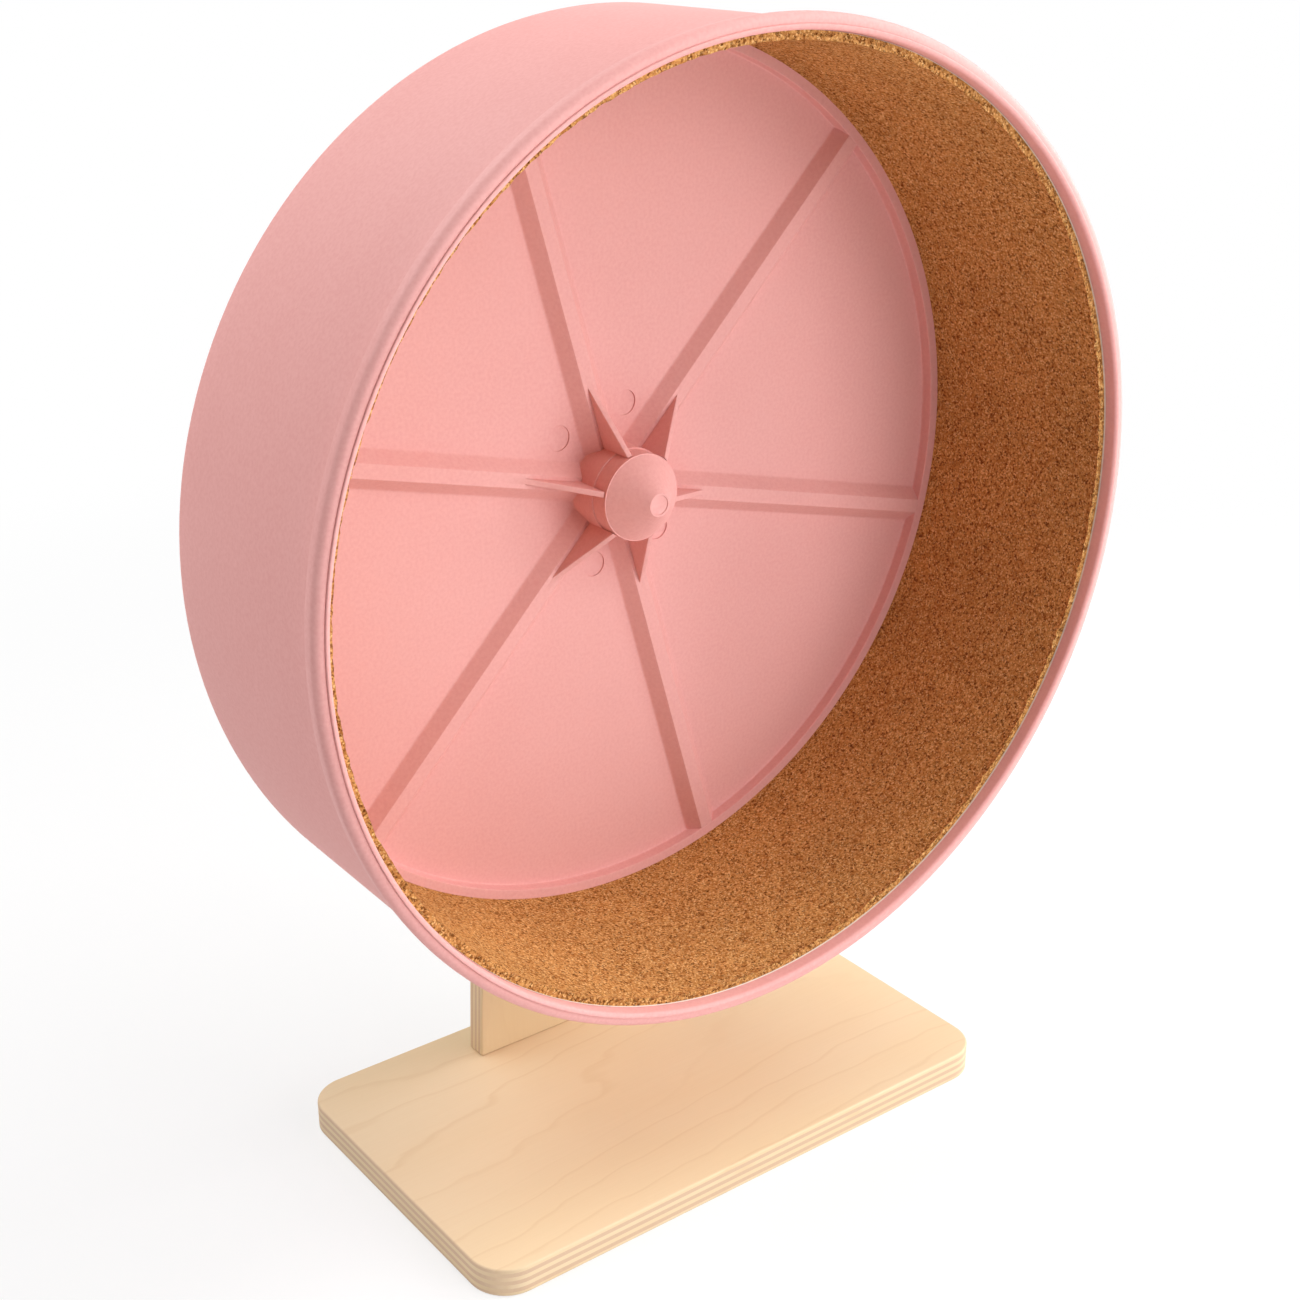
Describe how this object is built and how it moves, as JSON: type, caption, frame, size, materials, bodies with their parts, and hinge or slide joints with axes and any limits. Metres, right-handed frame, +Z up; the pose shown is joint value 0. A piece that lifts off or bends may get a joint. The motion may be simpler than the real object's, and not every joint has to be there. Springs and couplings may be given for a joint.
{
  "type": "rodent exercise wheel",
  "caption": "Free-standing exercise wheel: a moulded drum lined with cork turns on ball bearings, on an axle held by a plywood upright and base.",
  "frame": {"origin": "centre of the base plate's underside, on the surface that the wheel stands on", "axes": "+Z up, +Y from the drum's open face to its back, along the axle, +X to the right of someone who faces the open side"},
  "size_m": [0.292, 0.1207, 0.3615],
  "materials": {
    "pink_plastic": "injection-moulded pink plastic with a satin sheen",
    "cork": "agglomerated cork sheet, fine granules, matt",
    "birch_plywood": "sanded, unvarnished birch plywood with bare ply edges",
    "zinc_steel": "bright zinc-plated steel",
    "bearing_steel": "ground bearing steel",
    "shield_steel": "pressed sheet steel",
    "cage_nylon": "natural nylon",
    "adhesive_film": "thin double-sided adhesive film"
  },
  "bodies": {
    "stand": {"base_plate": "birch_plywood", "upright_plate": "birch_plywood", "base_screws": "zinc_steel", "axle_bolt": "zinc_steel", "rear_washer": "zinc_steel", "front_washer": "zinc_steel", "clamp_nut": "zinc_steel", "axle_sleeve": "zinc_steel", "bearing_spacer": "zinc_steel", "axle_shim": "zinc_steel", "axle_nut": "zinc_steel", "front_bearing_inner_ring": "bearing_steel", "rear_bearing_inner_ring": "bearing_steel"},
    "wheel": {"wheel_drum": "pink_plastic", "hub_cap": "pink_plastic", "cork_liner": "cork", "liner_tape": "adhesive_film", "front_bearing_outer_ring": "bearing_steel", "front_bearing_front_shield": "shield_steel", "front_bearing_rear_shield": "shield_steel", "rear_bearing_outer_ring": "bearing_steel", "rear_bearing_front_shield": "shield_steel", "rear_bearing_rear_shield": "shield_steel"},
    "front_ball_set": {"front_bearing_balls": "bearing_steel", "front_bearing_cage": "cage_nylon"},
    "rear_ball_set": {"rear_bearing_balls": "bearing_steel", "rear_bearing_cage": "cage_nylon"}
  },
  "joints": [
    {"name": "wheel_spin", "type": "hinge", "parent": "stand", "child": "wheel", "pos_m": [0, 0.01715, 0.2155], "axis": [0, 1, 0], "continuous": true},
    {"name": "front_balls_spin", "type": "hinge", "parent": "stand", "child": "front_ball_set", "pos_m": [0, 0.0118, 0.2155], "axis": [0, 1, 0], "continuous": true},
    {"name": "rear_balls_spin", "type": "hinge", "parent": "stand", "child": "rear_ball_set", "pos_m": [0, 0.0225, 0.2155], "axis": [0, 1, 0], "continuous": true}
  ],
  "couplings": [
    {"joint": "front_balls_spin", "follows": "wheel_spin", "ratio": 0.63233},
    {"joint": "rear_balls_spin", "follows": "wheel_spin", "ratio": 0.63233}
  ]
}
